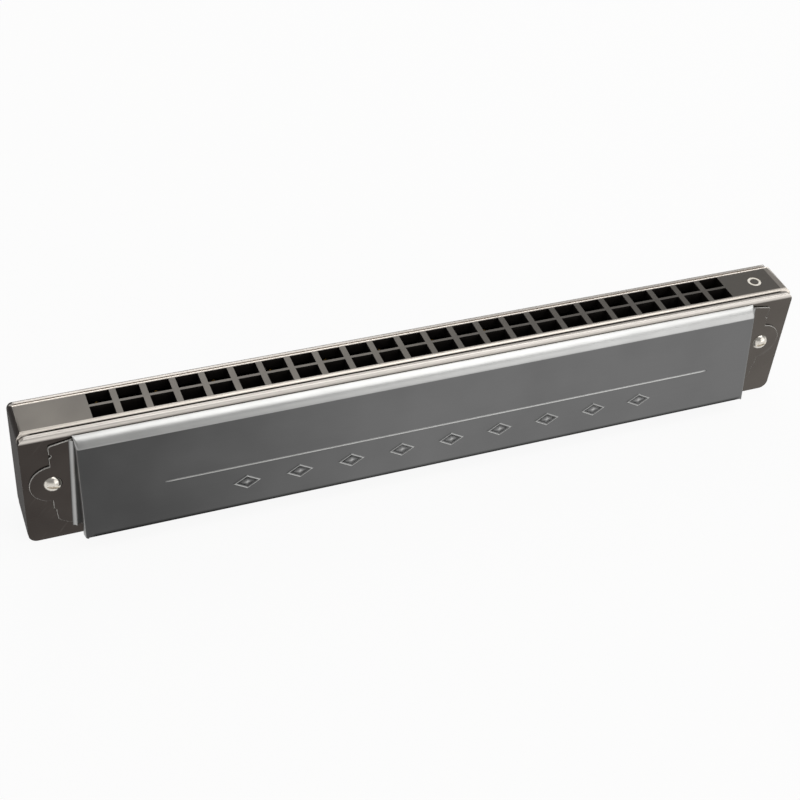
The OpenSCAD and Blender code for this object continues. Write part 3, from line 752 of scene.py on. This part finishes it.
def foot_curve(side, end, sizes, materials):
    """The hollow curve along the foot of an end wall: a quarter circle that touches the ear and the wall,
    closed by a back that bites into both, carried along the foot and a little short of its ends."""
    r = sizes.foot_r / MM
    base = PLATE_OUT + SHEET
    bite = 0.2
    short = 0.25
    z = np.linspace(WALL_BACK + short, EAR_TOP - short, 40)
    angle = np.linspace(1.5 * math.pi, math.pi + WALL_LEAN, 9)
    wall_x = foot_at(z) - SHEET * math.tan(WALL_LEAN)
    centre_x = wall_x + r / math.tan((math.pi / 2 + WALL_LEAN) / 2)
    x = centre_x[:, None] + r * np.cos(angle)
    y = np.broadcast_to(base + r + r * np.sin(angle), x.shape)
    back_x = np.stack([wall_x - bite, wall_x - bite], axis=-1)
    back_y = np.broadcast_to([base + bite, base - bite], back_x.shape)
    x = np.concatenate([x, back_x, x[:, :1]], axis=1)
    y = np.concatenate([y, back_y, y[:, :1]], axis=1)
    points = np.stack([x, y, np.broadcast_to(z[:, None], x.shape)], axis=-1)
    # Painted highlight: a bright bead along the middle of the hollow curve, fading to nothing at its edges
    polish_and_painted_light = np.zeros(x.shape)
    polish_and_painted_light[:, :len(angle)] = 0.6 * (1 - np.abs(np.linspace(-1, 1, len(angle))) ** 3)
    name = "cover_foot_%s_%s" % (side, end)
    mesh = grid_mesh(name, mirrored(points, side) * (ENDS[end], 1, 1), polish_and_painted_light=polish_and_painted_light)
    outwards(mesh, capped=True)
    mesh.set_sharp_from_angle(angle=math.radians(50))
    link_piece(name, mesh, materials)


def on_slope(u, v, w):
    """A point of the sloping face: u along the instrument, v up the slope from the rule, w off the face."""
    y = PLATE_OUT + BULGE_FRONT + (BEND_Z - RULE_Z) * math.tan(FACE_LEAN)
    return np.stack([u, y - v * math.sin(FACE_LEAN) + w * math.cos(FACE_LEAN),
                     RULE_Z + v * math.cos(FACE_LEAN) + w * math.sin(FACE_LEAN)], axis=-1)


def ridge(m, centre, width):
    """A smooth ridge about one value of m: a raised cosine that falls to nothing at width on both sides."""
    return np.where(np.abs(m - centre) < width, 0.5 + 0.5 * np.cos(math.pi * (m - centre) / width), 0)


def lozenge_patch(i, sizes):
    """A pressed lozenge as a grid of two parameters a and b: the larger of both is the share of the way
    to the edge, with one ridge near the edge and a small raised lozenge in the middle. The outermost points
    sink into the face."""
    a, b = np.meshgrid(np.linspace(-1, 1, 45), np.linspace(-1, 1, 45))
    m = np.maximum(np.abs(a), np.abs(b))
    height = np.maximum(ridge(m, 0.82, 0.16), 0.9 * ridge(m, 0, 0.42))
    u = ORNAMENT_SHIFT + (i - (LOZENGES - 1) / 2) * LOZENGE_PITCH + (a - b) * LOZENGE_L / 4
    v = -LOZENGE_DROP + (a + b) * LOZENGE_W / 4
    w = sizes.relief / MM * height - SINK * (m > 0.985)
    # Painted highlight on the raised parts, brightest at their tops
    return on_slope(u, v, w), 0.7 * height ** 1.5


def rule_patch(sizes):
    """The pressed rule: a ridge of cosine section, running out at both ends, with its sides sunk into the
    face."""
    t, s = np.meshgrid(np.linspace(-1, 1, 241), np.linspace(-1, 1, 11))
    height = ridge(s, 0, 1) * np.minimum(1, (1 - np.abs(t)) * RULE_L / 2 / RULE_FADE)
    u = ORNAMENT_SHIFT + t * RULE_L / 2
    w = sizes.relief / MM * height - SINK * (np.abs(s) > 0.99)
    # Painted highlight on the ridge, brightest at its top
    return on_slope(u, s * RULE_W * 0.65, w), 0.8 * height


def pressed(name, side, patch, material):
    """An ornament of the cover's face, from its points and worn values, with its back inside the sheet."""
    points, polish_and_painted_light = patch
    mesh = grid_mesh(name, mirrored(points, side), polish_and_painted_light=polish_and_painted_light, flip=side == "rear")
    backed(link_piece(name, mesh, [material]), SHEET / 2)


class HARMONICA_OT_comb(bpy.types.Operator):
    """Plate the comb, leave its inside bare and fill the ring mark"""
    bl_idname = "harmonica.comb"
    bl_label = "Comb"

    def execute(self, context):
        sizes, colours = context.scene.harmonica_sizes, context.scene.harmonica_colours
        finishes = [plated_comb(colours), bare_moulding(colours), matt_end(colours)]
        mesh = softened_copy("comb", "comb_body", finishes, sizes.comb_edge).data

        # Bare is what lies in the holes and chambers, but not the rims beside the holes; its near black is
        # partly painted shade
        x, y, z = vectors(mesh.polygons, "center").T / MM
        bare = (abs(x) < HOLES_END) & (abs(y) < SEAM - 0.05) & (z > 0.3) & (z < BODY_H - 0.02)
        bare &= ~((z > BODY_H - RIM_R) & (abs(y) > HOLE_EDGE + 0.02))

        # The lacquer reaches over the rounded rim at the high end, and stops below it at the low end
        ends = abs(vectors(mesh.polygons, "normal")[:, 0]) > np.where(x > 0, 0.95, 0.4)
        mesh.polygons.foreach_set("material_index", np.where(ends & ~bare, 2, bare).astype(np.int32))
        enamel_ring(colours)
        return {"FINISHED"}


class HARMONICA_OT_plates(bpy.types.Operator):
    """Round the reed plates' edges and give them their nickel"""
    bl_idname = "harmonica.plates"
    bl_label = "Reed plates"

    def execute(self, context):
        sizes, colours = context.scene.harmonica_sizes, context.scene.harmonica_colours
        finishes = [dark_nickel(colours), matt_end(colours)]
        for side in SIDES:
            mesh = softened_copy("reed_plate_" + side, "nickel_plate_" + side, finishes,
                                 sizes.plate_edge).data
            # The lacquer covers the trimmed ends, where the faces look along X
            x = abs(vectors(mesh.polygons, "center")[:, 0]) / MM
            ends = (x > MARK_X) & (abs(vectors(mesh.polygons, "normal")[:, 0]) > 0.8)
            mesh.polygons.foreach_set("material_index", ends.astype(np.int32))
        return {"FINISHED"}


class HARMONICA_OT_reeds(bpy.types.Operator):
    """Give the reeds, rivets and pins their brass"""
    bl_idname = "harmonica.reeds"
    bl_label = "Reeds, rivets and pins"

    def execute(self, context):
        colours = context.scene.harmonica_colours
        milled, headed = milled_brass(colours), headed_brass(colours)
        for name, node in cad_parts.items():
            if name.startswith(("reed_front", "reed_rear")):
                node.material_slots[0].material = milled
            elif name.startswith(("reed_rivets", "plate_pins")):
                node.material_slots[0].material = headed
        return {"FINISHED"}


class HARMONICA_OT_covers(bpy.types.Operator):
    """Build both covers from their sheet: shell, ears, feet and the pressed ornament"""
    bl_idname = "harmonica.covers"
    bl_label = "Covers"

    def execute(self, context):
        sizes, colours = context.scene.harmonica_sizes, context.scene.harmonica_colours
        chrome, edge, ear = satin_chrome(colours), sheared_edge(colours), dark_nickel(colours)
        for side in SIDES:
            shell = cover_shell(side, sizes, [chrome, edge])
            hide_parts("cover_" + side)
            for end in ENDS:
                cover_ear(side, end, sizes, [ear, edge])
                foot_curve(side, end, sizes, [chrome])
            for i in range(LOZENGES):
                pressed("lozenge_%s_%d" % (side, i + 1), side, lozenge_patch(i, sizes), chrome)
            pressed("rule_" + side, side, rule_patch(sizes), chrome)
        return {"FINISHED"}


class HARMONICA_OT_screws(bpy.types.Operator):
    """Round the edges of the screws and nuts and polish them"""
    bl_idname = "harmonica.screws"
    bl_label = "Screws and nuts"

    def execute(self, context):
        sizes, colours = context.scene.harmonica_sizes, context.scene.harmonica_colours
        nickel = screw_nickel(colours)
        for node in ("cover_screws", "cover_nuts"):
            softened_copy(node, "polished_" + node, [nickel], sizes.screw_edge)
        return {"FINISHED"}


def white_floor(studio):
    """White paper just under the object: what the eye and the metal see of it is mostly plain white, so
    that the shadow stays faint."""
    reach, z = 3.0, -0.02 * MM
    floor = bpy.data.meshes.new("floor")
    corners = [(-reach, -reach, z), (reach, -reach, z), (reach, reach, z), (-reach, reach, z)]
    floor.from_pydata(corners, [], [(0, 1, 2, 3)])
    ground = bpy.data.objects.new("floor", floor)
    bpy.context.scene.collection.objects.link(ground)
    paper = bpy.data.materials.new("white_paper")
    paper.use_nodes = True
    tree = paper.node_tree
    tree.nodes.clear()
    rays = add(tree, "LightPath").outputs
    seen = add(tree, "Math", {0: rays["Is Camera Ray"], 1: rays["Is Glossy Ray"]}, operation="MAXIMUM")
    seen = add(tree, "Math", {0: seen, 1: rays["Is Transmission Ray"]}, operation="MAXIMUM")
    seen = add(tree, "Math", {0: seen, 1: studio.whiteness}, operation="MULTIPLY")
    lit = add(tree, "BsdfDiffuse", {"Color": studio.floor})
    plain = add(tree, "Emission", {"Color": (1, 1, 1, 1), "Strength": 1.0})
    both = add(tree, "MixShader", {0: seen, 1: lit, 2: plain})
    add(tree, "OutputMaterial", {0: both})
    floor.materials.append(paper)


def soft_room(studio):
    """A room that is bright along the horizon and dimmer above the object."""
    room = bpy.data.worlds.new("room")
    bpy.context.scene.world = room
    room.use_nodes = True
    tree = room.node_tree
    tree.nodes.clear()
    direction = add(tree, "TexCoord").outputs["Generated"]
    rise = add(tree, "SeparateXYZ", {0: direction}).outputs["Z"]
    light = add(tree, "MapRange", {
        "Value": rise, 1: 0.1, 2: 0.4, 3: studio.horizon, 4: studio.sky}, interpolation_type="SMOOTHSTEP")
    background = add(tree, "Background", {"Color": (1, 1, 1, 1), "Strength": light})
    add(tree, "OutputWorld", {0: background})


def lamp(name, place, size, radiance, studio, target=(0, 0, 0.03)):
    """A soft rectangular lamp of a given brightness, turned to the mouth face: power is brightness times
    area times pi."""
    light = bpy.data.lights.new(name, "AREA")
    light.shape = "RECTANGLE"
    light.size, light.size_y = size
    light.energy = radiance * size[0] * size[1] * math.pi * studio.lamps
    made = bpy.data.objects.new(name, light)
    bpy.context.scene.collection.objects.link(made)
    made.location = place
    made.rotation_euler = (Vector(target) - Vector(place)).to_track_quat("-Z", "Y").to_euler()
    made.visible_camera = False


def photo_camera(studio):
    """The photograph's camera, from its place and its three axes."""
    view = bpy.data.cameras.new("photo_camera")
    view.sensor_width = 36.0
    view.lens = studio.lens
    view.clip_start = 0.01
    camera = bpy.data.objects.new("photo_camera", view)
    bpy.context.scene.collection.objects.link(camera)
    axes = (Vector(CAMERA_RIGHT), -Vector(CAMERA_DOWN), -Vector(CAMERA_AHEAD))
    camera.matrix_world = Matrix.Translation(CAMERA_PLACE) @ Matrix(axes).transposed().to_4x4()
    bpy.context.scene.camera = camera


class HARMONICA_OT_stage(bpy.types.Operator):
    """Set up the pale floor, the soft lamps, the room and the camera"""
    bl_idname = "harmonica.stage"
    bl_label = "Floor, light and camera"

    def execute(self, context):
        studio = context.scene.harmonica_studio
        white_floor(studio)
        soft_room(studio)
        lamp("front_panel", (0.65, -0.85, 0.45), (0.95, 0.8), 1.1, studio)
        lamp("top_softbox", (0.27, -0.12, 0.85), (0.66, 0.7), 1.8, studio)
        lamp("back_left_softbox", (0.05, 0.66, 0.62), (0.45, 0.35), 1.6, studio, (-0.03, 0, 0.03))
        lamp("back_strip", (0.25, 0.95, 0.14), (1.3, 0.26), 2.0, studio)
        photo_camera(studio)
        context.scene.view_settings.view_transform = "Standard"
        return {"FINISHED"}


STEPS = (HARMONICA_OT_comb, HARMONICA_OT_plates, HARMONICA_OT_reeds, HARMONICA_OT_covers,
         HARMONICA_OT_screws, HARMONICA_OT_stage)


class HARMONICA_PT_parts(bpy.types.Panel):
    """The harmonica's pieces and their settings"""
    bl_idname = "HARMONICA_PT_parts"
    bl_label = "Tremolo harmonica"
    bl_space_type = "VIEW_3D"
    bl_region_type = "UI"
    bl_category = "Harmonica"

    def draw(self, context):
        for step in STEPS:
            self.layout.operator(step.bl_idname)
        for group in (context.scene.harmonica_sizes, context.scene.harmonica_colours,
                      context.scene.harmonica_studio):
            box = self.layout.box()
            for key in group.__annotations__:
                box.prop(group, key)


GROUPS = {"harmonica_sizes": HarmonicaSizes, "harmonica_colours": HarmonicaColours,
          "harmonica_studio": HarmonicaStudio}


def register():
    for name, group in GROUPS.items():
        bpy.utils.register_class(group)
        setattr(bpy.types.Scene, name, bpy.props.PointerProperty(type=group))
    for step in (*STEPS, HARMONICA_PT_parts):
        bpy.utils.register_class(step)


def unregister():
    for step in (HARMONICA_PT_parts, *reversed(STEPS)):
        bpy.utils.unregister_class(step)
    for name, group in GROUPS.items():
        delattr(bpy.types.Scene, name)
        bpy.utils.unregister_class(group)


def main():
    """Builds every piece in order."""
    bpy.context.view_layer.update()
    register()
    bpy.ops.harmonica.comb()
    bpy.ops.harmonica.plates()
    bpy.ops.harmonica.reeds()
    bpy.ops.harmonica.covers()
    bpy.ops.harmonica.screws()
    bpy.ops.harmonica.stage()


if __name__ == "__main__":
    main()
